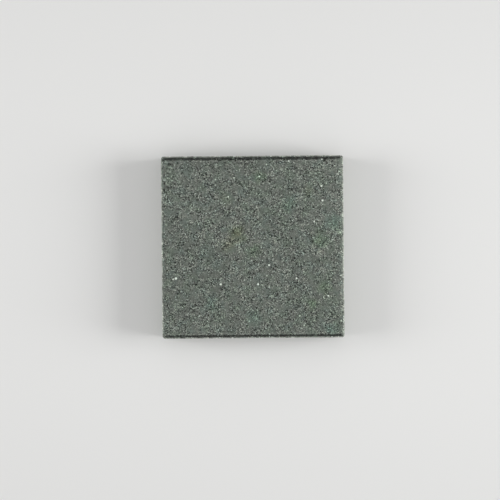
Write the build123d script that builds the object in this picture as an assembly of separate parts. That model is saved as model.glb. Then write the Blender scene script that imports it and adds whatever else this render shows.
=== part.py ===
from build123d import *
import os

# A pressed concrete paving slab, cast in one piece. It is square in plan, and a sloping
# facet runs all round the wearing face. The upright corners, the hips of the facet and the
# arrises are eased.
# Lengths are in millimetres. +Z is up through the thickness, and the origin is at the
# middle of the bedding face.

slab_length = 298.0  # along X: the 300 module less its joint
slab_width = 298.0  # along Y
slab_thickness = 50.0  # from the bedding face to the wearing face

facet_run = 6.5  # width of the facet, seen from above
facet_drop = 4.5  # how far the facet falls from the wearing face to the side

side_corner_radius = 4.0  # plan rounding of the four upright corners
hip_radius = 4.4  # rounding of the hips, where two facets meet at a corner
shoulder_radius = 1.2  # easing of the arris between the facet and the side
face_arris_radius = 0.8  # easing of the arris between the wearing face and the facet
foot_bevel = 1.4  # bevel between the sides and the bedding face

shoulder_height = slab_thickness - facet_drop
side_middle = shoulder_height / 2
facet_middle = slab_thickness - facet_drop / 2


def bar(plane, breadth, length):
    """A long bar with the slab's cross-section: flat foot, upright sides and facets."""
    side = breadth / 2
    face = side - facet_run
    outline = [
        (-side, 0),
        (side, 0),
        (side, shoulder_height),
        (face, slab_thickness),
        (-face, slab_thickness),
        (-side, shoulder_height),
    ]
    with BuildSketch(plane) as section:
        with BuildLine():
            Polyline(*outline, close=True)
        make_face()
    return extrude(section.sketch, length / 2, both=True)


def pressed_body():
    """The slab as pressed: a lengthwise and a crosswise bar, kept where they cross."""
    crossing = bar(Plane.YZ, slab_width, slab_length) & bar(Plane.XZ, slab_length, slab_width)
    mould = extrude(RectangleRounded(slab_length, slab_width, side_corner_radius), slab_thickness)
    return crossing & mould


def lowest(edge):
    return edge.bounding_box().min.Z


def highest(edge):
    return edge.bounding_box().max.Z


def eased(slab):
    """The slab with its foot bevelled, then its hips, its shoulder and its face's rim rounded."""
    foot = slab.edges().filter_by(lambda edge: highest(edge) < side_middle)
    slab = chamfer(foot, foot_bevel)

    hips = slab.edges().filter_by(lambda edge: lowest(edge) < facet_middle < highest(edge))
    slab = fillet(hips, hip_radius)

    shoulder = slab.edges().filter_by(
        lambda edge: side_middle < lowest(edge) and highest(edge) < facet_middle
    )
    slab = fillet(shoulder, shoulder_radius)

    face_rim = slab.edges().filter_by(lambda edge: facet_middle < lowest(edge))
    return fillet(face_rim, face_arris_radius)


parts = {"paving_slab": eased(pressed_body())}

os.makedirs("parts", exist_ok=True)
for name, shape in parts.items():
    export_step(shape, f"parts/{name}.step")
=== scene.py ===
import bpy
import random
from math import radians, tan
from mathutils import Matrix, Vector


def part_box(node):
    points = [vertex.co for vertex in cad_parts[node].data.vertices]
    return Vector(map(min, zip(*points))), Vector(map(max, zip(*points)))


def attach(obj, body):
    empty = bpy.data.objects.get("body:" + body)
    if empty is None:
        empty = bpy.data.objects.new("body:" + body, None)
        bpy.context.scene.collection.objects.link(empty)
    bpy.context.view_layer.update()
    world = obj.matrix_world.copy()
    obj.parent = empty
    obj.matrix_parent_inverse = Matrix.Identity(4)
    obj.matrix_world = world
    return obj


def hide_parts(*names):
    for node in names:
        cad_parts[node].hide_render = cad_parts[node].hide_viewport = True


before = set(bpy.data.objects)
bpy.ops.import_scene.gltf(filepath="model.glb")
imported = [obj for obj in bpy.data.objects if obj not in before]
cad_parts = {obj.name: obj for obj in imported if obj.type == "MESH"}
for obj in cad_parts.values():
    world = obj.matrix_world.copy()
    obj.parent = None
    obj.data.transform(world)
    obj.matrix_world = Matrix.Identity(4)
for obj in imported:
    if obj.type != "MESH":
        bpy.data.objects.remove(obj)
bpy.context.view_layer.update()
slabLow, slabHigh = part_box("paving_slab")
slabSize = slabHigh - slabLow
print("frame loaded, slab", [round(side, 4) for side in slabSize])

mm = 0.001

# how the photograph is framed: the slab's middle in the picture, and the picture's scale and turn
photoView = {
    "imageSize": 500,
    "slabMiddle": (252.8, 247.0),
    "metresPerPixel": 1.626 * mm,
    "turn": radians(0.5),
    "focalLength": 100,
    "sensorWidth": 36,
}

# the pressed shape, as in the solid
slabForm = {
    "facetRun": 6.5 * mm,
    "facetDrop": 4.5 * mm,
    "cornerRadius": 4.0 * mm,
    "cornerSteps": 5,
    "shoulderBevel": 0.65 * mm,
    "faceBevel": 0.25 * mm,
    "footBevel": 1.4 * mm,
}

# the same shape in millimetres, as the chips, the relief and the material read it
halfX, halfY = slabSize.x / 2 / mm, slabSize.y / 2 / mm
topHeight = slabSize.z / mm
shoulderHeight = (slabSize.z - slabForm["facetDrop"]) / mm
facetRun = slabForm["facetRun"] / mm


def fromPhoto(pixelX, pixelY):
    # a point of the wearing face, in millimetres, under a pixel of the photograph
    middleX, middleY = photoView["slabMiddle"]
    right = (pixelX - middleX) * photoView["metresPerPixel"] / mm
    up = (middleY - pixelY) * photoView["metresPerPixel"] / mm
    turn = tan(photoView["turn"])
    return right + up * turn, up - right * turn


# node helpers, for shader trees and geometry trees alike


def feed(tree, socket, value):
    if isinstance(value, bpy.types.NodeSocket):
        tree.links.new(value, socket)
    else:
        socket.default_value = value


def addNode(tree, kind, **settings):
    node = tree.nodes.new(kind)
    for name, value in settings.items():
        setattr(node, name, value)
    return node


def calc(tree, operation, *values, clamp=False):
    node = addNode(tree, "ShaderNodeMath", operation=operation, use_clamp=clamp)
    for socket, value in zip(node.inputs, values):
        feed(tree, socket, value)
    return node.outputs[0]


def calcVector(tree, operation, *values):
    node = addNode(tree, "ShaderNodeVectorMath", operation=operation)
    for socket, value in zip(node.inputs, values):
        feed(tree, socket, value)
    return node.outputs["Value" if operation in {"LENGTH", "DISTANCE"} else "Vector"]


def scaled(tree, vector, factor):
    node = addNode(tree, "ShaderNodeVectorMath", operation="SCALE")
    feed(tree, node.inputs["Vector"], vector)
    feed(tree, node.inputs["Scale"], factor)
    return node.outputs["Vector"]


def joined(tree, *parts):
    node = addNode(tree, "ShaderNodeCombineXYZ")
    for socket, value in zip(node.inputs, parts):
        feed(tree, socket, value)
    return node.outputs[0]


def parted(tree, vector):
    node = addNode(tree, "ShaderNodeSeparateXYZ")
    feed(tree, node.inputs[0], vector)
    return tuple(node.outputs)


def ramp(tree, value, start, end, low=0.0, high=1.0):
    # a smooth step from low, at start, to high, at end
    node = addNode(tree, "ShaderNodeMapRange", interpolation_type="SMOOTHSTEP")
    for socket, given in zip(node.inputs, (value, start, end, low, high)):
        feed(tree, socket, given)
    return node.outputs[0]


def stretched(tree, value, factor, shift, clamp=False):
    return calc(tree, "MULTIPLY_ADD", value, factor, shift, clamp=clamp)


def between(tree, share, limits):
    # a value between two limits, by a share from 0 to 1
    low, high = limits
    return stretched(tree, share, high - low, low)


def remainder(tree, share, clamp=False):
    # what a share leaves of the whole
    return calc(tree, "SUBTRACT", 1.0, share, clamp=clamp)


def gathered(tree, operation, values):
    result = values[0]
    for value in values[1:]:
        result = calc(tree, operation, result, value)
    return result


def product(tree, *values):
    return gathered(tree, "MULTIPLY", values)


def total(tree, *values):
    return gathered(tree, "ADD", values)


def greatest(tree, *values):
    return gathered(tree, "MAXIMUM", values)


def least(tree, *values):
    return gathered(tree, "MINIMUM", values)


# each seed of a noise reads it at another place, this many millimetres on
seedStep = {"clouds": (31.0, 17.0, 7.0), "cells": (23.0, 11.0, 5.0)}

noiseFloor = 0.32  # the part of a noise that relief leaves flat


def seeded(tree, vector, pattern, seed):
    return calcVector(tree, "ADD", vector, tuple(seed * step for step in seedStep[pattern]))


def clouds(tree, vector, size, seed, detail=2.0, roughness=0.5):
    # soft noise about 0.5, with features of one size
    node = addNode(tree, "ShaderNodeTexNoise", noise_dimensions="3D")
    feed(tree, node.inputs["Vector"], seeded(tree, vector, "clouds", seed))
    feed(tree, node.inputs["Scale"], 1 / size)
    feed(tree, node.inputs["Detail"], detail)
    feed(tree, node.inputs["Roughness"], roughness)
    return node.outputs[0]


def dents(tree, vector, size, seed, detail=2.0, roughness=0.5):
    # the same noise less its floor, and never below 0, for relief that only goes in
    noise = clouds(tree, vector, size, seed, detail, roughness)
    return greatest(tree, total(tree, noise, -noiseFloor), 0.0)


def cells(tree, vector, size, seed):
    # Voronoi cells of one size: the distance to each cell's middle, in cells, and two chances
    node = addNode(tree, "ShaderNodeTexVoronoi", voronoi_dimensions="3D", feature="F1")
    feed(tree, node.inputs["Vector"], seeded(tree, vector, "cells", seed))
    feed(tree, node.inputs["Scale"], 1 / size)
    chance, spread, _ = parted(tree, node.outputs["Color"])
    return node.outputs["Distance"], chance, spread


# how softly the slab's faces run into each other, in millimetres about the arris between them
zoneEdges = {
    "outline": 1.0,
    "upright": 0.6,
    "facet": (-1.5, 0.5),
    "face": (-1.0, 1.0),
    "bed": (1.2, 0.2),
}


def reach(tree, across, up):
    return calc(tree, "SQRT", total(tree, product(tree, across, across), product(tree, up, up)))


def slabPlaces(tree, vector):
    # where a point lies on the slab, in millimetres, from its position in millimetres: how far
    # in from the sides and from each arris it is, and a share for each of the faces
    x, y, height = parted(tree, vector)
    inX = calc(tree, "SUBTRACT", halfX, calc(tree, "ABSOLUTE", x))
    inY = calc(tree, "SUBTRACT", halfY, calc(tree, "ABSOLUTE", y))
    inward = calc(tree, "SMOOTH_MIN", inX, inY, zoneEdges["outline"])
    toShoulder = reach(tree, inward, calc(tree, "SUBTRACT", height, shoulderHeight))
    toUpright = reach(tree, inX, inY)
    intoFace = calc(tree, "SUBTRACT", inward, facetRun)

    low, high = zoneEdges["facet"]
    above = ramp(tree, height, shoulderHeight + low, shoulderHeight + high)
    low, high = zoneEdges["face"]
    onFace = product(tree, above, ramp(tree, inward, facetRun + low, facetRun + high))
    onFacet = calc(tree, "SUBTRACT", above, onFace, clamp=True)
    onBed = ramp(tree, height, *zoneEdges["bed"])
    return {
        "x": x,
        "y": y,
        "height": height,
        "inX": inX,
        "inY": inY,
        "inward": inward,
        "shoulder": toShoulder,
        "faceRim": reach(tree, intoFace, calc(tree, "SUBTRACT", height, topHeight)),
        "foot": reach(tree, inward, height),
        "upright": toUpright,
        "outerEdge": least(tree, toShoulder, total(tree, toUpright, zoneEdges["upright"])),
        "onFace": onFace,
        "onTop": total(tree, onFace, onFacet),
        "onBed": onBed,
        "onSide": calc(tree, "SUBTRACT", remainder(tree, above), onBed, clamp=True),
    }


def selectOnly(mesh, edges=(), faces=()):
    # in edit mode with nothing else selected: edges or faces picked by their place
    bpy.ops.mesh.select_all(action="DESELECT")
    bpy.ops.object.mode_set(mode="OBJECT")
    for index in edges:
        mesh.edges[index].select = True
    for index in faces:
        mesh.polygons[index].select = True
    bpy.ops.object.mode_set(mode="EDIT")


def edgesWhere(mesh, test):
    corners = mesh.vertices
    return [edge.index for edge in mesh.edges if test(*(corners[end].co for end in edge.vertices))]


def applyModifiers(piece):
    bpy.ops.object.select_all(action="DESELECT")
    piece.select_set(True)
    bpy.context.view_layer.objects.active = piece
    for modifier in list(piece.modifiers):
        bpy.ops.object.modifier_apply(modifier=modifier.name)


def trianglesOf(piece):
    return sum(len(face.vertices) - 2 for face in piece.data.polygons)


# the slab's block-out: sides, facet and eased arrises


def blockOut():
    shoulder = slabSize.z - slabForm["facetDrop"]
    bpy.ops.object.select_all(action="DESELECT")
    bpy.ops.mesh.primitive_cube_add(
        size=1, location=(0, 0, shoulder / 2), scale=(slabSize.x, slabSize.y, shoulder)
    )
    slab = bpy.context.object
    slab.name = "pressed_slab"
    bpy.ops.object.transform_apply(location=True, rotation=True, scale=True)
    mesh = slab.data
    near = 0.01 * mm

    bpy.ops.object.mode_set(mode="EDIT")
    bpy.ops.mesh.select_mode(type="EDGE")
    selectOnly(mesh, edges=edgesWhere(mesh, lambda a, b: abs(a.z - b.z) > shoulder / 2))
    bpy.ops.mesh.bevel(
        offset=slabForm["cornerRadius"], segments=slabForm["cornerSteps"], affect="EDGES"
    )

    # the facet, drawn up and in from the shoulder
    bpy.ops.mesh.select_mode(type="FACE")
    bpy.ops.object.mode_set(mode="OBJECT")
    top = [face.index for face in mesh.polygons if face.normal.z > 0.9]
    bpy.ops.object.mode_set(mode="EDIT")
    selectOnly(mesh, faces=top)
    bpy.ops.mesh.extrude_region_move(
        TRANSFORM_OT_translate={"value": (0, 0, slabForm["facetDrop"])}
    )
    bpy.ops.transform.resize(
        value=(
            1 - 2 * slabForm["facetRun"] / slabSize.x,
            1 - 2 * slabForm["facetRun"] / slabSize.y,
            1,
        ),
        center_override=(0, 0, slabSize.z),
    )

    # the three level loops of edges: shoulder, rim of the face, foot
    bpy.ops.mesh.select_mode(type="EDGE")
    for height, offset, segments in (
        (shoulder, slabForm["shoulderBevel"], 3),
        (slabSize.z, slabForm["faceBevel"], 2),
        (0.0, slabForm["footBevel"], 1),
    ):
        bpy.ops.object.mode_set(mode="OBJECT")
        loop = edgesWhere(mesh, lambda a, b: abs(a.z - height) < near and abs(b.z - height) < near)
        bpy.ops.object.mode_set(mode="EDIT")
        selectOnly(mesh, edges=loop)
        bpy.ops.mesh.bevel(offset=offset, segments=segments, affect="EDGES")
    bpy.ops.object.mode_set(mode="OBJECT")
    print("block-out", len(mesh.polygons), "faces")
    return slab


# chips broken off the arrises: the photograph's own by pixel, then about ninety small ones.
# Each has its arris, the length of the break along it, and its depth, in millimetres.

slabChips = {
    "farRightCorner": ((343.0, 156.0), "corner", 9.0, 3.0),
    "nearLeftCorner": ((162.4, 337.6), "corner", 12.0, 4.4),
    "leftNick": ((161.0, 190.8), "shoulder", 6.5, 2.0),
    "leftUpperNick": ((160.8, 175.0), "shoulder", 5.0, 1.0),
    "farNick": ((186.0, 157.0), "shoulder", 5.0, 1.2),
    "farRightNick": ((308.0, 156.0), "shoulder", 7.0, 1.2),
    "rightNick": ((344.0, 322.0), "shoulder", 7.0, 1.5),
    "nearRightNick": ((322.0, 337.0), "shoulder", 6.0, 1.3),
    "nearLeftNick": ((206.0, 338.0), "shoulder", 8.0, 1.2),
    "farLeftCorner": ((161.5, 157.5), "corner", 7.0, 1.2),
}

smallChips = {
    "seed": 11,
    "clearOfCorners": 12,
    "uprightHeights": (5, 38),
    "mostlySmall": 1.8,
    "kinds": {  # how many of each, their lengths and their depths
        "shoulder": (30, (2.5, 6.5), (0.35, 1.0)),
        "rim": (18, (2.0, 5.0), (0.25, 0.6)),
        "foot": (34, (3.0, 10.0), (0.5, 1.8)),
        "upright": (12, (3.0, 9.0), (0.4, 1.4)),
    },
}

# the rough balls that break the chips off
chipBall = {
    "subdivisions": 2,
    "cornerRadius": 1.3,  # times the length of the break
    "turnPerMillimetre": 0.37,
    "roughness": 0.45 * mm,
    "roughnessSeed": 5,
    "crumblesWithin": (0.9 * mm, 0.3 * mm),
}

# for each kind of arris: its height, how far in from the sides it lies, and how much the way
# out of the concrete rises
arcInset = 0.29  # of its radius, from a square corner to the middle of its arc
uprightInset = slabForm["cornerRadius"] / mm * arcInset
arrisSeats = {
    "corner": (shoulderHeight, uprightInset, 0.55),
    "upright": (None, uprightInset, 0.0),
    "shoulder": (shoulderHeight, 0.3, 0.52),
    "rim": (topHeight, facetRun, 3.2),
    "foot": (0.7, 0.7, -1.0),
}


def arrisFrame(kind, place):
    # the point of an arris nearest to a place, and the way out of the concrete there
    x, y, z = place
    level, inset, rise = arrisSeats[kind]
    sideX, sideY = (1 if x > 0 else -1), (1 if y > 0 else -1)
    edgeX, edgeY = sideX * (halfX - inset), sideY * (halfY - inset)
    if kind in ("corner", "upright"):
        height = z if level is None else level
        return Vector((edgeX, edgeY, height)), Vector((sideX, sideY, rise)).normalized()
    if halfX - abs(x) < halfY - abs(y):
        return Vector((edgeX, y, level)), Vector((sideX, 0, rise)).normalized()
    return Vector((x, edgeY, level)), Vector((0, sideY, rise)).normalized()


def addCutter(kind, place, length, depth):
    # a ball that bites so deep that the break has the given length
    arris, way = arrisFrame(kind, place)
    radius = (length * length / 4 + depth * depth) / (2 * depth)
    if kind == "corner":
        radius = length * chipBall["cornerRadius"]
    bpy.ops.mesh.primitive_ico_sphere_add(
        subdivisions=chipBall["subdivisions"],
        radius=radius * mm,
        location=(arris + way * (radius - depth)) * mm,
        rotation=tuple(arris * chipBall["turnPerMillimetre"]),
    )
    return bpy.context.object


def chipCutters():
    bpy.ops.object.select_all(action="DESELECT")
    cutters = []
    for pixel, kind, length, depth in slabChips.values():
        cutters.append(addCutter(kind, (*fromPhoto(*pixel), 0), length, depth))
    chance = random.Random(smallChips["seed"])
    for kind, (count, lengths, depths) in smallChips["kinds"].items():
        for _ in range(count):
            across = chance.choice((-1, 1)) * halfX
            along = chance.uniform(-1, 1) * (halfX - smallChips["clearOfCorners"])
            if kind == "upright":
                otherSide = chance.choice((-1, 1)) * halfX
                place = (across, otherSide, chance.uniform(*smallChips["uprightHeights"]))
            else:
                place = (across, along, 0) if chance.random() < 0.5 else (along, across, 0)
            small = chance.random() ** smallChips["mostlySmall"]
            length = lengths[0] + (lengths[1] - lengths[0]) * small
            depth = depths[0] + (depths[1] - depths[0]) * small * chance.uniform(0.5, 1)
            cutters.append(addCutter(kind, place, length, depth))
    for cutter in cutters:
        cutter.select_set(True)
    bpy.context.view_layer.objects.active = cutters[0]
    bpy.ops.object.join()
    cutter = bpy.context.object
    cutter.name = "chips_broken_off"
    bpy.ops.object.transform_apply(location=True, rotation=True, scale=True)
    bpy.ops.object.mode_set(mode="EDIT")
    bpy.ops.mesh.select_all(action="SELECT")
    bpy.ops.transform.vertex_random(
        offset=chipBall["roughness"], uniform=0.0, normal=0.0, seed=chipBall["roughnessSeed"]
    )
    bpy.ops.object.mode_set(mode="OBJECT")
    print("cutter for", len(cutters), "chips")
    return cutter


# the relief of the pressed and worn concrete: how deep each part of it goes in, in millimetres

slabRelief = {
    "clear": 0.04,
    "swell": 0.5,
    "sandOnFace": 0.10,
    "sandOnSides": 0.40,
    "sandOnBed": 0.40,
    "facePits": 0.6,
    "sideVoids": 1.6,
    "bedVoids": 1.3,
    "dragMarks": 0.50,
    "wornArris": 0.34,
    "crumbs": 0.55,
    "wander": 0.8,
}

# how large the features of each part are, in millimetres
reliefSizes = {
    "swell": 85.0,
    "sand": 4.8,
    "dragMarks": 2.6,
    "dragShortened": 0.07,  # along the side's height, so that the marks run far down it
    "wornArris": 3.2,
    "crumbs": 1.8,
    "wander": 26.0,
}

# pits and voids: the size of the cells that they sit in, their least and greatest radius in
# cells, the chances between which a cell comes to hold one, and how much of one is its floor
slabHollows = {
    "facePits": (8.0, (0.07, 0.17), (0.70, 0.72), 0.4),
    "voids": (11.0, (0.07, 0.24), (0.52, 0.55), 0.5),
    "voidsByHeight": (44.0, 6.0, 0.25, 1.0),
    "voidRimSize": 1.9,
    "voidRim": 0.12,
}

# the soft wear of the arrises: how far its noise swings, its level, how it fades for each
# millimetre from the arris, and where it ends
arrisWear = {
    "swing": 1.2,
    "level": -0.85,
    "fade": -0.16,
    "ends": (3.6, 1.0),
    "sharedFrom": (7.0, 0.0),
    "sharedBelowShoulder": 8.0,
}

# how the outline wanders: how far in from a side it dies out, and how much of it goes on
# from one height, or one side, to the next
outlineWander = {"diesOut": (14.0, 2.0), "byHeight": 0.25, "bySide": 90.0}

# pale rims, partly wear and partly painted highlight, and a dark band of painted shade, in
# millimetres in from the outline. The painted shade and the inner rim lie along the far and near
# sides, and hardly on the left and right.
slabWear = {
    "patchSize": 7.0,
    "fringeSize": 3.2,
    "fringeWidth": 12.0,
    "mitre": (-1.0, 1.5),
    "leftAndRight": 0.08,
    "nearSideNarrower": (20.0, -20.0, 0.0, 1.3),
    "outerRim": (3.4, 1.6),
    "outerRimPatches": (0.34, 0.56, 0.25, 1.0),
    "outerRimStrength": (0.90, 1.0),
    "innerRimStarts": (7.5, 8.5),
    "innerRimEnds": (10.5, 9.2),
    "innerRimStrength": 0.32,
    "rimFringe": 0.7,
    "paintedShadeStarts": (1.6, 3.0),
    "paintedShadeEnds": (8.3, 6.9),
    "paintedShadeFringe": -0.5,
    "paintedShadePatches": (0.30, 0.55, 0.55, 1.0),
    "rubbedCrumbles": 0.7,
}

# the crack round the broken corner: its middle's pixel, radius, width and depth, how much of
# the width is its floor, how ragged it is, and the heights where it runs out down the side
slabCrack = {
    "pixel": (345.2, 154.0),
    "radius": 7.4,
    "width": 0.6,
    "floor": 0.3,
    "depth": 0.8,
    "raggedSize": 3.0,
    "ragged": 1.7,
    "downTheSide": 0.6,
    "runsOut": (36.0, 40.0),
}

# how much of the sand shows: in patches, and less where the concrete is dusty or on its pale rims
# of wear and painted highlight
bareSand = {
    "patchSize": 13.0,
    "patches": (0.37, 0.53),
    "limits": (0.21, 1.06),
    "coveredOnSides": 0.55,
    "coveredOnBed": 0.40,
    "wearAndHighlight": -0.5,
    "broken": 0.7,
}

# dust on the sides: in patches, and more of it lower down
slabDust = {
    "patchSize": 17.0,
    "patches": (0.35, 0.65, 0.15, 0.8),
    "byHeight": (46.0, 8.0, 0.3, 1.0),
}

# faint clouds of teal and green all over: their sizes, where they start and are full, and
# what red and blue are multiplied by without them and in them
cloudTints = {
    "tealSize": 11.0,
    "teal": (0.47, 0.64),
    "greenSize": 14.0,
    "green": (0.50, 0.66),
    "red": (1.035, 0.95),
    "blue": (1.02, 0.96),
}

# stains, and broad painted light and shade: pixel, radius in millimetres, and the tint that the
# colour is multiplied by
slabStainsAndPaintedLight = {
    "yellow": ((238.0, 234.0), 19.0, (1.03, 1.02, 0.80)),
    "yellowBelow": ((229.0, 247.0), 16.0, (1.02, 1.00, 0.87)),
    "olive": ((225.0, 198.0), 16.0, (1.00, 1.01, 0.94)),
    "oliveRight": ((308.0, 191.0), 13.0, (1.00, 1.02, 0.91)),
    "greenMiddle": ((256.0, 252.0), 17.0, (0.90, 1.00, 0.88)),
    "greenRight": ((320.0, 240.0), 20.0, (0.89, 1.03, 0.87)),
    "greenLowerRight": ((324.0, 287.0), 18.0, (0.89, 1.03, 0.86)),
    "greenNear": ((313.0, 305.0), 15.0, (0.90, 1.02, 0.86)),
    "greenFar": ((259.0, 177.0), 15.0, (0.90, 1.04, 0.86)),
    "tealLeft": ((205.0, 252.0), 19.0, (0.89, 1.00, 0.98)),
    "tealNearLeft": ((211.0, 303.0), 17.0, (0.88, 1.00, 0.97)),
    "tealNear": ((255.0, 318.0), 18.0, (0.87, 1.02, 0.98)),
    "tealFar": ((290.0, 205.0), 18.0, (0.88, 1.00, 0.97)),
    "tealRight": ((333.0, 224.0), 20.0, (0.88, 1.03, 0.97)),
    "tealCorner": ((333.0, 330.0), 16.0, (0.87, 1.03, 0.99)),
    "reddish": ((323.0, 250.5), 8.0, (1.06, 1.00, 0.98)),
    # painted light and shade, in grey: the right of the slab paler and the near left darker
    "paintedLightRight": ((372.0, 205.0), 150.0, (1.13, 1.12, 1.12)),
    "paintedLightNearRight": ((362.0, 300.0), 90.0, (1.09, 1.08, 1.08)),
    "paintedShadeNearLeft": ((198.0, 276.0), 105.0, (0.94, 0.94, 0.94)),
}
stainAndPaintedLightFringe = {"size": 8.0, "width": 1.4, "full": 0.1}


def noted(tree, geometry, name, value, kind="FLOAT"):
    # a value kept at every point of the skin, under a name that the material reads
    node = addNode(tree, "GeometryNodeStoreNamedAttribute", data_type=kind, domain="POINT")
    node.inputs["Name"].default_value = name
    feed(tree, node.inputs["Geometry"], geometry)
    socket = next(entry for entry in node.inputs if entry.name == "Value" and entry.enabled)
    feed(tree, socket, value)
    return node.outputs["Geometry"]


def brokenPlaces(tree, cutter):
    # 1 where the skin is the wall of a chip, by its distance from the balls
    shape = addNode(tree, "GeometryNodeObjectInfo")
    shape.inputs["Object"].default_value = cutter
    toCutter = addNode(tree, "GeometryNodeProximity", target_element="FACES")
    feed(tree, toCutter.inputs[0], shape.outputs["Geometry"])
    return ramp(tree, toCutter.outputs["Distance"], *chipBall["crumblesWithin"])


def rimsAndPaintedShade(tree, point, at):
    # where the concrete is pale, with wear and painted highlight, and where it is dark with
    # painted shade
    wear = slabWear
    patchy = clouds(tree, point, wear["patchSize"], 12, detail=3.0, roughness=0.6)
    fringe = clouds(tree, point, wear["fringeSize"], 19, detail=4.0, roughness=0.75)
    fringe = stretched(tree, fringe, wear["fringeWidth"], -wear["fringeWidth"] / 2)
    mitre = calc(tree, "SUBTRACT", at["inX"], at["inY"])
    nearFar = ramp(tree, mitre, *wear["mitre"], wear["leftAndRight"], 1.0)

    # the outer and inner rims: partly wear, partly painted highlight on the arrises
    outerRim = product(
        tree,
        ramp(tree, stretched(tree, fringe, wear["rimFringe"], at["outerEdge"]), *wear["outerRim"]),
        ramp(tree, patchy, *wear["outerRimPatches"]),
        between(tree, nearFar, wear["outerRimStrength"]),
    )
    across = total(tree, at["inward"], ramp(tree, at["y"], *wear["nearSideNarrower"]))
    across = stretched(tree, fringe, -wear["rimFringe"], across)
    innerRim = product(
        tree,
        ramp(tree, across, *wear["innerRimStarts"]),
        ramp(tree, across, *wear["innerRimEnds"]),
        nearFar,
        wear["innerRimStrength"],
        at["onTop"],
    )
    # the dark band: painted shade, mostly on the far and near facets
    fromSide = stretched(tree, fringe, wear["paintedShadeFringe"], at["inward"])
    paintedShade = product(
        tree,
        ramp(tree, fromSide, *wear["paintedShadeStarts"]),
        ramp(tree, across, *wear["paintedShadeEnds"]),
        remainder(tree, at["onSide"]),
        remainder(tree, at["onBed"]),
        nearFar,
        ramp(tree, patchy, *wear["paintedShadePatches"]),
    )
    return greatest(tree, outerRim, innerRim), paintedShade


def cornerCrack(tree, point, at):
    # how deep the crack is
    flatten = slabCrack["downTheSide"]
    x, y = fromPhoto(*slabCrack["pixel"])
    flat = calcVector(tree, "MULTIPLY", point, (1.0, 1.0, flatten))
    across = calcVector(tree, "DISTANCE", flat, (x, y, flatten * shoulderHeight))
    noise = clouds(tree, point, slabCrack["raggedSize"], 4, detail=3.0, roughness=0.6)
    across = total(
        tree, across, stretched(tree, noise, slabCrack["ragged"], -slabCrack["ragged"] / 2)
    )
    across = calc(tree, "ABSOLUTE", calc(tree, "SUBTRACT", across, slabCrack["radius"]))
    return product(
        tree,
        ramp(tree, across, slabCrack["width"], slabCrack["width"] * slabCrack["floor"]),
        ramp(tree, at["height"], *slabCrack["runsOut"]),
        slabCrack["depth"],
    )


def pitsAndVoids(tree, point, at):
    # how deep the pits of the face, and the voids of the sides and the bed, are
    size, radii, chances, floor = slabHollows["facePits"]
    near, chance, spread = cells(tree, point, size, 7)
    radius = between(tree, spread, radii)
    pits = ramp(tree, near, radius, product(tree, radius, floor))
    pits = product(tree, pits, ramp(tree, chance, *chances), slabRelief["facePits"])

    size, radii, chances, floor = slabHollows["voids"]
    near, chance, spread = cells(tree, point, size, 9)
    lower = ramp(tree, at["height"], *slabHollows["voidsByHeight"])
    radius = product(tree, between(tree, spread, radii), lower)
    noise = clouds(tree, point, slabHollows["voidRimSize"], 10)
    swing = slabHollows["voidRim"]
    near = stretched(tree, noise, swing, total(tree, near, -swing / 2))
    voids = ramp(tree, near, radius, product(tree, radius, floor))
    voids = product(tree, voids, ramp(tree, chance, *chances))
    return greatest(
        tree,
        product(tree, pits, at["onFace"]),
        product(tree, voids, at["onSide"], slabRelief["sideVoids"]),
        product(tree, voids, at["onBed"], slabRelief["bedVoids"]),
    )


def textures(tree, point, at):
    # the face's gentle swell, the sand, and the marks that the mould dragged down the sides
    depth, size = slabRelief, reliefSizes
    grainy = dents(tree, point, size["sand"], 6)
    drawn = calcVector(tree, "MULTIPLY", point, (1.0, 1.0, size["dragShortened"]))
    drag = dents(tree, drawn, size["dragMarks"], 8, detail=3.0, roughness=0.6)
    return total(
        tree,
        product(tree, dents(tree, point, size["swell"], 5, detail=1.0), depth["swell"]),
        product(tree, grainy, at["onTop"], depth["sandOnFace"]),
        product(tree, grainy, at["onSide"], depth["sandOnSides"]),
        product(tree, grainy, at["onBed"], depth["sandOnBed"]),
        product(tree, drag, at["onSide"], depth["dragMarks"]),
    )


def wornArrises(tree, point, at):
    # a soft wear all along the arrises, in a direction that both their sides share
    wear, depth = arrisWear, slabRelief["wornArris"]
    arris = least(tree, at["shoulder"], at["foot"], at["upright"])
    noise = clouds(tree, point, reliefSizes["wornArris"], 1)
    rub = stretched(tree, noise, wear["swing"], wear["level"])
    rub = total(tree, rub, stretched(tree, arris, wear["fade"], depth))
    rub = least(tree, greatest(tree, rub, 0.0), depth)
    rub = product(tree, rub, ramp(tree, arris, *wear["ends"]))

    outward = [
        product(tree, calc(tree, "SIGN", own), ramp(tree, inside, *wear["sharedFrom"]))
        for own, inside in ((at["x"], at["inX"]), (at["y"], at["inY"]))
    ]
    upper = ramp(tree, at["height"], shoulderHeight - wear["sharedBelowShoulder"], topHeight)
    lower = ramp(tree, at["height"], *wear["sharedFrom"])
    way = joined(tree, *outward, calc(tree, "SUBTRACT", upper, lower))
    return scaled(tree, calcVector(tree, "NORMALIZE", way), product(tree, rub, -mm))


def wanderingOutline(tree, at):
    # the outline wanders a little, as a side does that leaves a worn mould
    moves = []
    for own, other, inside in ((at["x"], at["y"], at["inX"]), (at["y"], at["x"], at["inY"])):
        side = calc(tree, "SIGN", own)
        along = joined(
            tree,
            other,
            product(tree, side, outlineWander["bySide"]),
            product(tree, at["height"], outlineWander["byHeight"]),
        )
        drift = dents(tree, along, reliefSizes["wander"], 11)
        fading = ramp(tree, inside, *outlineWander["diesOut"])
        moves.append(product(tree, side, product(tree, fading, drift, slabRelief["wander"] * -mm)))
    return joined(tree, *moves)


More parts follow.
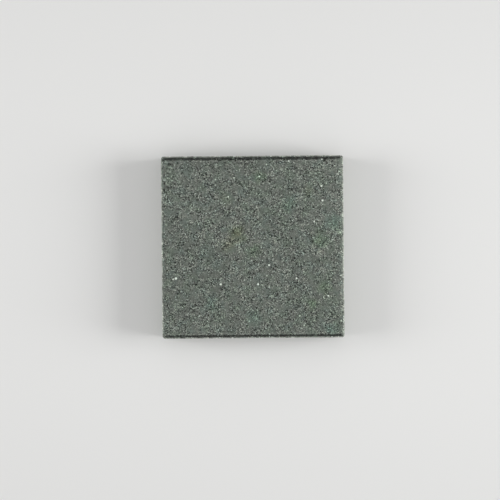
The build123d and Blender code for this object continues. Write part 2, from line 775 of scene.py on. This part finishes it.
def bareShare(tree, point, at, wearAndHighlight, broken):
    noise = clouds(tree, point, bareSand["patchSize"], 13, detail=3.0, roughness=0.6)
    bare = between(tree, ramp(tree, noise, *bareSand["patches"]), bareSand["limits"])
    covered = total(
        tree,
        product(tree, at["onSide"], bareSand["coveredOnSides"]),
        product(tree, at["onBed"], bareSand["coveredOnBed"]),
    )
    bare = product(tree, bare, remainder(tree, covered))
    bare = product(tree, bare, stretched(tree, wearAndHighlight, bareSand["wearAndHighlight"], 1.0))
    return greatest(tree, bare, product(tree, broken, bareSand["broken"]))


def dustShare(tree, point, at):
    noise = clouds(tree, point, slabDust["patchSize"], 14, detail=3.0)
    dust = ramp(tree, noise, *slabDust["patches"])
    dust = product(tree, dust, ramp(tree, at["height"], *slabDust["byHeight"]))
    return product(tree, dust, remainder(tree, at["onTop"], clamp=True))


def stainAndPaintedLightTint(tree, point):
    teal = ramp(tree, clouds(tree, point, cloudTints["tealSize"], 17), *cloudTints["teal"])
    green = ramp(tree, clouds(tree, point, cloudTints["greenSize"], 18), *cloudTints["green"])
    red = between(tree, greatest(tree, teal, green), cloudTints["red"])
    stainAndPaintedLight = joined(tree, red, 1.0, between(tree, green, cloudTints["blue"]))
    noise = clouds(tree, point, stainAndPaintedLightFringe["size"], 15, detail=3.0)
    fringe = stretched(tree, noise, stainAndPaintedLightFringe["width"], -stainAndPaintedLightFringe["width"] / 2)
    for pixel, radius, tint in slabStainsAndPaintedLight.values():
        away = calcVector(tree, "DISTANCE", point, (*fromPhoto(*pixel), topHeight))
        share = ramp(tree, stretched(tree, away, 1 / radius, fringe), 1.0, stainAndPaintedLightFringe["full"])
        change = scaled(tree, tuple(part - 1.0 for part in tint), share)
        change = calcVector(tree, "ADD", change, (1.0, 1.0, 1.0))
        stainAndPaintedLight = calcVector(tree, "MULTIPLY", change, stainAndPaintedLight)
    return stainAndPaintedLight


# how finely the skin is made before its relief is pressed in, and how far it is thinned after.
# The concrete within a few millimetres of the arrises is spared, and less of it round the face.
slabSkin = {
    "voxel": 0.75 * mm,
    "quickVoxel": 2.5 * mm,
    "mostTriangles": 192000,
    "keepEdges": 0.002,
    "keepWithin": (3.0, 3.2),
    "faceRimLess": 1.5,
}


def pressedRelief(cutter):
    tree = bpy.data.node_groups.new("pressedRelief", "GeometryNodeTree")
    tree.is_modifier = True
    for way in ("INPUT", "OUTPUT"):
        tree.interface.new_socket(
            name="Geometry", in_out=way, socket_type="NodeSocketGeometry"
        )
    entry = addNode(tree, "NodeGroupInput")
    leave = addNode(tree, "NodeGroupOutput")
    position = addNode(tree, "GeometryNodeInputPosition").outputs[0]
    normal = addNode(tree, "GeometryNodeInputNormal").outputs[0]
    point = scaled(tree, position, 1 / mm)
    at = slabPlaces(tree, point)

    broken = brokenPlaces(tree, cutter)
    wearAndHighlight, paintedShade = rimsAndPaintedShade(tree, point, at)
    hollow = greatest(tree, pitsAndVoids(tree, point, at), cornerCrack(tree, point, at))
    loose = greatest(tree, broken, product(tree, wearAndHighlight, slabWear["rubbedCrumbles"]))
    crumbs = clouds(tree, point, reliefSizes["crumbs"], 16, detail=1.0)
    crumbs = product(tree, crumbs, loose, slabRelief["crumbs"])
    deep = total(tree, textures(tree, point, at), hollow, crumbs, slabRelief["clear"])
    push = scaled(tree, normal, product(tree, deep, -mm))
    push = calcVector(tree, "ADD", push, wornArrises(tree, point, at))
    push = calcVector(tree, "ADD", push, wanderingOutline(tree, at))

    # the notes are taken before the move, so that they read the unmoved places
    arris = least(tree, at["outerEdge"], total(tree, at["faceRim"], slabSkin["faceRimLess"]))
    geometry = entry.outputs[0]
    for name, value in (
        ("hollow", hollow),
        ("broken", broken),
        ("wearAndHighlight", wearAndHighlight),
        ("paintedShade", paintedShade),
        ("bare", bareShare(tree, point, at, wearAndHighlight, broken)),
        ("dust", dustShare(tree, point, at)),
        ("keep", ramp(tree, arris, *slabSkin["keepWithin"])),
    ):
        geometry = noted(tree, geometry, name, value)
    # stains, and the broad painted light and shade
    geometry = noted(tree, geometry, "stainAndPaintedLight", stainAndPaintedLightTint(tree, point), kind="FLOAT_VECTOR")
    move = addNode(tree, "GeometryNodeSetPosition")
    feed(tree, move.inputs["Geometry"], geometry)
    feed(tree, move.inputs["Offset"], push)
    tree.links.new(move.outputs["Geometry"], leave.inputs[0])
    return tree


def dressSlab():
    slab = blockOut()
    cutter = chipCutters()
    bites = slab.modifiers.new("bites", "BOOLEAN")
    bites.object = cutter
    bites.solver = "EXACT"
    bites.use_self = True
    applyModifiers(slab)
    print("with its chips", len(slab.data.polygons), "faces")
    skin = slab.modifiers.new("skin", "REMESH")
    skin.mode = "VOXEL"
    skin.voxel_size = slabSkin["voxel"]
    applyModifiers(slab)
    slab.vertex_groups.new(name="keep")
    relief = slab.modifiers.new("relief", "NODES")
    relief.node_group = pressedRelief(cutter)
    applyModifiers(slab)
    bpy.data.objects.remove(cutter)
    triangles = trianglesOf(slab)
    print("skin with relief", triangles, "triangles")
    thin = slab.modifiers.new("thin", "DECIMATE")
    thin.ratio = min(1.0, slabSkin["mostTriangles"] / triangles)
    thin.vertex_group = "keep"
    thin.vertex_group_factor = slabSkin["keepEdges"]
    applyModifiers(slab)
    slab.vertex_groups.clear()
    bpy.ops.object.shade_smooth()
    print("thinned to", trianglesOf(slab), "triangles")
    return slab


# the slab's colours: linear values, and how much paler or darker than the paste the rest is

slabColour = {
    "paste": (0.131, 0.150, 0.1286),
    "dust": (0.200, 0.205, 0.175),
    "worn": (0.140, 0.145, 0.131),
    "warmGrain": (1.06, 1.0, 0.90),
    "coolGrain": (0.96, 1.0, 1.04),
    "placedGrainTint": (1.0, 0.93, 1.0),
    "wornShare": 0.8,
    "grainHueShare": 0.7,
    "placedGrainShare": 0.8,
    "fineSand": (0.38, 2.60),
    "darkGrit": (0.0, 0.05),
    "paleGrit": (2.80, 6.00),
    "pebbles": (1.30, 2.80),
    "quartz": (2.8, 4.2),
    "placedGrain": 5.8,
    # painted shade of pits and nicks
    "placedPitShade": 0.12,
    "darkest": 0.02,
    # painted shade: the dark band on the far and near facets
    "paintedShade": 0.19,
    # the pale rims: partly wear, partly a painted highlight on the arrises
    "wearAndHighlight": 2.50,
    # painted shade: hollows darker the deeper they go
    "hollow": 0.45,
    "freshBreak": 1.12,
    "softClouds": (0.2, 0.8, 0.94, 1.06),
    "micro": (0.70, 1.30),
}

# the sand: spacing of its places in millimetres, the share of them that hold a grain, and the
# smallest and largest radius in spacings
slabSand = {
    "fine": (1.35, 0.98, 0.45, 0.80),
    "grit": (2.15, 0.90, 0.43, 0.57),
    "large": (7.5, 0.50, 0.08, 0.22),
}

# how the sand is mixed and shaped
sandMix = {
    "paleGritBelow": 0.42,
    "quartzBelow": 0.14,
    "fineMostlyDark": 2.4,
    "paleGritSmaller": 1.4,
    "pebblesWhereBare": (0.1, 0.5, 0.5, 1.0),
    "grainEdge": 4.0,
    "markEdge": 3.0,
    "shakeSize": 1.3,
    "shake": 1.1,
    "microSize": 0.42,
    "softSize": 22.0,
}

# the fine relief of the sand, in millimetres: grains stand proud, and dark grit lies low
sandRelief = {
    "fine": 0.18,
    "grit": (-0.55, 0.30),
    "large": 0.30,
    "micro": 0.14,
    "uneven": 0.45,
}

slabFinish = {
    "roughness": (0.84, 0.96),
    "paleGrainGloss": -0.15,
    "specular": 0.3,
}

# pale grains that stand out in the photograph: pixel, and radius in millimetres
paleGrains = {
    "leftLargest": ((176.0, 278.4), 2.3),
    "leftBeside": ((173.2, 279.2), 1.4),
    "middleBright": ((269.2, 265.2), 1.9),
    "middle": ((258.2, 284.3), 1.9),
    "nearLeft": ((220.8, 284.3), 2.1),
    "farEdge": ((288.8, 161.0), 1.5),
    "farRight": ((321.5, 186.0), 1.9),
    "farRightLower": ((322.5, 200.4), 1.9),
    "farMiddle": ((259.2, 176.4), 1.5),
    "nearRight": ((296.6, 278.3), 1.8),
    "rightMiddle": ((314.3, 221.4), 1.6),
    "rightEdge": ((328.4, 295.8), 1.6),
    "upperLeft": ((228.2, 196.8), 1.4),
    "onFarFacet": ((321.6, 159.2), 1.5),
    "onRightFacet": ((343.2, 327.2), 1.6),
    # painted highlight: the up-facing break of the broken corner, as a pale disc
    "paintedHighlightOnBrokenCorner": ((342.3, 157.5), 1.3),
}

# painted shade of pits and nicks: dark spots with no hollow under them, likewise
paintedPitShade = {
    "middle": ((271.2, 267.2), 1.5),
    "farLeft": ((177.6, 163.0), 1.5),
    "farLeftSmall": ((174.0, 160.4), 1.1),
    "nearLeft": ((180.6, 322.4), 1.4),
    "nearRight": ((339.6, 323.0), 1.4),
    "leftNick": ((164.4, 190.8), 1.8),
    "nearMiddle": ((200.0, 313.2), 1.2),
    "besideFarGrain": ((323.6, 161.0), 1.1),
}


def blend(tree, share, first, second, how="MIX"):
    node = addNode(tree, "ShaderNodeMix", data_type="RGBA", blend_type=how)
    sockets = {socket.identifier: socket for socket in node.inputs}
    feed(tree, sockets["Factor_Float"], share)
    for name, value in (("A_Color", first), ("B_Color", second)):
        feed(tree, sockets[name], (*value, 1.0) if isinstance(value, tuple) else value)
    return next(socket for socket in node.outputs if socket.identifier == "Result_Color")


def grainGroup():
    # grains of one spacing: what they cover, a chance and a tone for each, and their domes
    tree = bpy.data.node_groups.new("sand_grains", "ShaderNodeTree")
    interface = tree.interface
    interface.new_socket(name="Vector", in_out="INPUT", socket_type="NodeSocketVector")
    for name in ("Spacing", "Share", "Smallest", "Largest"):
        interface.new_socket(name=name, in_out="INPUT", socket_type="NodeSocketFloat")
    for name in ("Mask", "Chance", "Tone", "Dome", "Near"):
        interface.new_socket(name=name, in_out="OUTPUT", socket_type="NodeSocketFloat")
    entry = addNode(tree, "NodeGroupInput").outputs
    leave = addNode(tree, "NodeGroupOutput").inputs

    cell = addNode(tree, "ShaderNodeTexVoronoi", voronoi_dimensions="3D", feature="F1")
    feed(tree, cell.inputs["Vector"], entry["Vector"])
    feed(tree, cell.inputs["Scale"], calc(tree, "DIVIDE", 1.0, entry["Spacing"]))
    chance, size, tone = parted(tree, cell.outputs["Color"])
    there = calc(tree, "LESS_THAN", chance, entry["Share"])
    span = calc(tree, "SUBTRACT", entry["Largest"], entry["Smallest"])
    radius = stretched(tree, size, span, entry["Smallest"])
    near = calc(tree, "DIVIDE", cell.outputs["Distance"], radius)
    edge = stretched(tree, near, -sandMix["grainEdge"], sandMix["grainEdge"], clamp=True)
    dome = remainder(tree, product(tree, near, near), clamp=True)
    feed(tree, leave["Mask"], product(tree, edge, there))
    feed(tree, leave["Chance"], chance)
    feed(tree, leave["Tone"], tone)
    feed(tree, leave["Dome"], product(tree, calc(tree, "SQRT", dome), there))
    feed(tree, leave["Near"], near)
    return tree


def sandLayers(tree, point):
    # each size of sand, from the group, with its own values
    group = grainGroup()
    layers = {}
    for name, values in slabSand.items():
        node = addNode(tree, "ShaderNodeGroup", node_tree=group)
        feed(tree, node.inputs["Vector"], point)
        for title, value in zip(("Spacing", "Share", "Smallest", "Largest"), values):
            node.inputs[title].default_value = value
        layers[name] = node.outputs
    return layers["fine"], layers["grit"], layers["large"]


def laid(tree, below, mask, above):
    # a layer of grains, or a mark, laid over the tone below
    return stretched(tree, calc(tree, "SUBTRACT", above, below), mask, below)


def placedMarks(tree, point, marks):
    shares = []
    for pixel, radius in marks.values():
        away = calcVector(tree, "DISTANCE", point, (*fromPhoto(*pixel), topHeight))
        edge = sandMix["markEdge"]
        shares.append(stretched(tree, away, -edge / radius, edge, clamp=True))
    return greatest(tree, *shares)


def concreteMaterial():
    material = bpy.data.materials.new("dark_pressed_concrete")
    material.use_nodes = True
    tree = material.node_tree
    shader = tree.nodes["Principled BSDF"]
    look, mix = slabColour, sandMix
    coords = addNode(tree, "ShaderNodeTexCoord").outputs["Object"]
    point = scaled(tree, coords, 1 / mm)

    def note(name, output="Fac"):
        return addNode(tree, "ShaderNodeAttribute", attribute_name=name).outputs[output]

    def upTo(name, last, first=1.0, limits=(0.0, 1.0)):
        # a factor that a note of the skin brings in
        return ramp(tree, note(name), *limits, first, last)

    # irregular grains: the point that they read is shaken by up to half a millimetre
    shake = addNode(tree, "ShaderNodeTexNoise", noise_dimensions="3D")
    feed(tree, shake.inputs["Vector"], point)
    feed(tree, shake.inputs["Scale"], 1 / mix["shakeSize"])
    feed(tree, shake.inputs["Detail"], 1.0)
    shaken = calcVector(tree, "ADD", shake.outputs["Color"], (-0.5, -0.5, -0.5))
    shaken = calcVector(tree, "ADD", point, scaled(tree, shaken, mix["shake"]))

    micro = clouds(tree, point, mix["microSize"], 2, detail=1.0)
    soft = clouds(tree, point, mix["softSize"], 3)
    bare = note("bare")
    fine, grit, large = sandLayers(tree, shaken)

    # which grit is pale and which is dark, and which large grains are quartz
    paleGrit = calc(tree, "LESS_THAN", grit["Chance"], mix["paleGritBelow"])
    quartz = calc(tree, "LESS_THAN", large["Chance"], mix["quartzBelow"])
    darkShare = product(tree, grit["Mask"], remainder(tree, paleGrit))
    sharper = -mix["grainEdge"] * mix["paleGritSmaller"]
    paleShare = stretched(tree, grit["Near"], sharper, mix["grainEdge"], clamp=True)
    paleShare = product(tree, paleShare, paleGrit)

    # the tone: sand over paste, its contrast by how bare it is, then the large grains
    fineTone = calc(tree, "POWER", fine["Tone"], mix["fineMostlyDark"])
    tone = laid(tree, 1.0, fine["Mask"], between(tree, fineTone, look["fineSand"]))
    tone = laid(tree, tone, darkShare, between(tree, grit["Tone"], look["darkGrit"]))
    tone = laid(tree, tone, paleShare, between(tree, grit["Tone"], look["paleGrit"]))
    tone = stretched(tree, calc(tree, "SUBTRACT", tone, 1.0), bare, 1.0)
    tone = greatest(tree, tone, look["darkest"])
    pebbles = product(tree, large["Mask"], ramp(tree, bare, *mix["pebblesWhereBare"]))
    tone = laid(tree, tone, pebbles, between(tree, large["Tone"], look["pebbles"]))
    quartz = product(tree, large["Mask"], quartz)
    tone = laid(tree, tone, quartz, between(tree, large["Tone"], look["quartz"]))

    # the marks that the photograph shows on the wearing face
    # dark discs of painted shade for pits and nicks
    tone = laid(tree, tone, placedMarks(tree, shaken, paintedPitShade), look["placedPitShade"])
    placedGrains = placedMarks(tree, shaken, paleGrains)
    tone = laid(tree, tone, placedGrains, look["placedGrain"])

    # pale rims of wear and painted highlight, a dark band of painted shade, and painted shade in
    # the hollows
    tone = product(
        tree,
        tone,
        # the pale rims: partly wear, partly painted highlight
        upTo("wearAndHighlight", look["wearAndHighlight"]),
        # painted shade on the far and near facets
        upTo("paintedShade", look["paintedShade"]),
        # painted shade in the pits, voids and crack, darker the deeper they are
        upTo("hollow", look["hollow"], limits=(0.05, 0.7)),
        upTo("broken", look["freshBreak"]),
        ramp(tree, soft, *look["softClouds"]),
        between(tree, micro, look["micro"]),
    )

    colour = blend(tree, note("dust"), look["paste"], look["dust"])
    covered = product(tree, placedGrains, look["placedGrainShare"])
    # stains, and the broad painted light and shade
    stainAndPaintedLight = blend(tree, covered, note("stainAndPaintedLight", "Vector"), look["placedGrainTint"])
    colour = calcVector(tree, "MULTIPLY", colour, stainAndPaintedLight)
    worn = product(tree, note("wearAndHighlight"), look["wornShare"])
    colour = blend(tree, worn, colour, look["worn"])
    grainHue = blend(tree, grit["Tone"], look["warmGrain"], look["coolGrain"])
    paleShare = greatest(tree, product(tree, paleShare, bare), large["Mask"])
    hueShare = product(tree, paleShare, look["grainHueShare"])
    colour = blend(tree, hueShare, colour, grainHue, how="MULTIPLY")
    tree.links.new(scaled(tree, colour, tone), shader.inputs["Base Color"])

    rough = between(tree, micro, slabFinish["roughness"])
    rough = stretched(tree, paleShare, slabFinish["paleGrainGloss"], rough)
    shader.inputs["Specular IOR Level"].default_value = slabFinish["specular"]
    tree.links.new(rough, shader.inputs["Roughness"])

    relief = sandRelief
    height = product(tree, grit["Dome"], between(tree, paleGrit, relief["grit"]))
    height = stretched(tree, fine["Dome"], relief["fine"], height)
    height = total(
        tree, product(tree, height, bare), product(tree, large["Dome"], relief["large"])
    )
    height = stretched(tree, micro, relief["micro"], height)
    height = stretched(tree, shake.outputs["Fac"], relief["uneven"], height)
    bump = addNode(tree, "ShaderNodeBump")
    bump.inputs["Strength"].default_value = 1.0
    bump.inputs["Distance"].default_value = mm
    tree.links.new(height, bump.inputs["Height"])
    tree.links.new(bump.outputs["Normal"], shader.inputs["Normal"])
    print("concrete with", len(tree.nodes), "nodes")
    return material


slab = dressSlab()
slab.data.materials.append(concreteMaterial())
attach(slab, "root")
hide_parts("paving_slab")


# the stage: a pale floor that fades to white far out. It can't be seen from below, and it has
# an opening under the slab's bed, so that the bed is lit and shows in views from there.

stageLook = {
    "floorSize": 12.0,
    "opening": 290 * mm,
    "floorColour": (0.80, 0.80, 0.79),
    "floorRoughness": 0.9,
    "fadeToWhite": (0.6, 2.6),
    "ambient": 0.44,
}


def seenDirectly(tree):
    # 1 where a ray shows the background: to the camera, in a gloss or through glass
    rays = addNode(tree, "ShaderNodeLightPath").outputs
    kinds = ("Is Camera Ray", "Is Glossy Ray", "Is Transmission Ray")
    return greatest(tree, *(rays[kind] for kind in kinds))


def shaderMix(tree, share, first, second):
    node = addNode(tree, "ShaderNodeMixShader")
    for socket, value in zip(node.inputs, (share, first, second)):
        feed(tree, socket, value)
    return node.outputs[0]


def layFloor():
    bpy.ops.object.select_all(action="DESELECT")
    bpy.ops.mesh.primitive_plane_add(size=stageLook["floorSize"], location=(0, 0, 0))
    floor = bpy.context.object
    floor.name = "floor"
    bpy.ops.object.mode_set(mode="EDIT")
    bpy.ops.mesh.select_all(action="SELECT")
    bpy.ops.mesh.inset(thickness=(stageLook["floorSize"] - stageLook["opening"]) / 2)
    bpy.ops.mesh.delete(type="FACE")
    bpy.ops.object.mode_set(mode="OBJECT")
    material = bpy.data.materials.new("pale_floor")
    material.use_nodes = True
    tree = material.node_tree
    shader = tree.nodes["Principled BSDF"]
    shader.inputs["Base Color"].default_value = (*stageLook["floorColour"], 1)
    shader.inputs["Roughness"].default_value = stageLook["floorRoughness"]
    place = addNode(tree, "ShaderNodeTexCoord").outputs["Object"]
    far = ramp(tree, calcVector(tree, "LENGTH", place), *stageLook["fadeToWhite"])
    white = addNode(tree, "ShaderNodeEmission").outputs[0]
    seeThrough = addNode(tree, "ShaderNodeBsdfTransparent").outputs[0]
    below = addNode(tree, "ShaderNodeNewGeometry").outputs["Backfacing"]
    fading = shaderMix(tree, product(tree, far, seenDirectly(tree)), shader.outputs[0], white)
    surface = tree.nodes["Material Output"].inputs["Surface"]
    tree.links.new(shaderMix(tree, below, fading, seeThrough), surface)
    floor.data.materials.append(material)
    print("floor with", len(floor.data.polygons), "faces")


def studioWorld():
    world = bpy.data.worlds.new("studio")
    bpy.context.scene.world = world
    world.use_nodes = True
    tree = world.node_tree
    background = tree.nodes["Background"]
    background.inputs["Color"].default_value = (1, 1, 1, 1)
    strength = ramp(tree, seenDirectly(tree), 0.0, 1.0, stageLook["ambient"], 1.0)
    feed(tree, background.inputs["Strength"], strength)


# two soft lamps, far out to the left and the right of the slab
sideLamps = {
    "left": {"place": (-3.2, 0.10, 1.17), "power": 10.8},
    "right": {"place": (3.2, -0.10, 1.17), "power": 16.8},
    "size": 1.9,
    "spread": radians(60),
}


def hangLamps():
    for name in ("left", "right"):
        lamp = sideLamps[name]
        light = bpy.data.lights.new(name + "_softbox", "AREA")
        light.shape = "SQUARE"
        light.size = sideLamps["size"]
        light.energy = lamp["power"]
        light.spread = sideLamps["spread"]
        holder = bpy.data.objects.new(name + "_softbox", light)
        bpy.context.collection.objects.link(holder)
        holder.location = lamp["place"]
        aim = -Vector(lamp["place"])
        holder.rotation_euler = aim.to_track_quat("-Z", "Y").to_euler()
        holder.visible_camera = False
    print("two lamps hung")


def setCamera():
    # straight above, with the slab where the photograph has it
    lens = bpy.data.cameras.new("overhead")
    lens.lens = photoView["focalLength"]
    lens.sensor_width = photoView["sensorWidth"]
    camera = bpy.data.objects.new("overhead", lens)
    bpy.context.collection.objects.link(camera)
    size = photoView["imageSize"] * photoView["metresPerPixel"]
    distance = size * lens.lens / lens.sensor_width
    middleX, middleY = photoView["slabMiddle"]
    half = photoView["imageSize"] / 2
    camera.location = (
        (half - middleX) * photoView["metresPerPixel"],
        (middleY - half) * photoView["metresPerPixel"],
        slabSize.z + distance,
    )
    camera.rotation_euler = (0, 0, -photoView["turn"])
    bpy.context.scene.camera = camera


studioWorld()
layFloor()
hangLamps()
setCamera()
bpy.context.scene.view_settings.view_transform = "Standard"
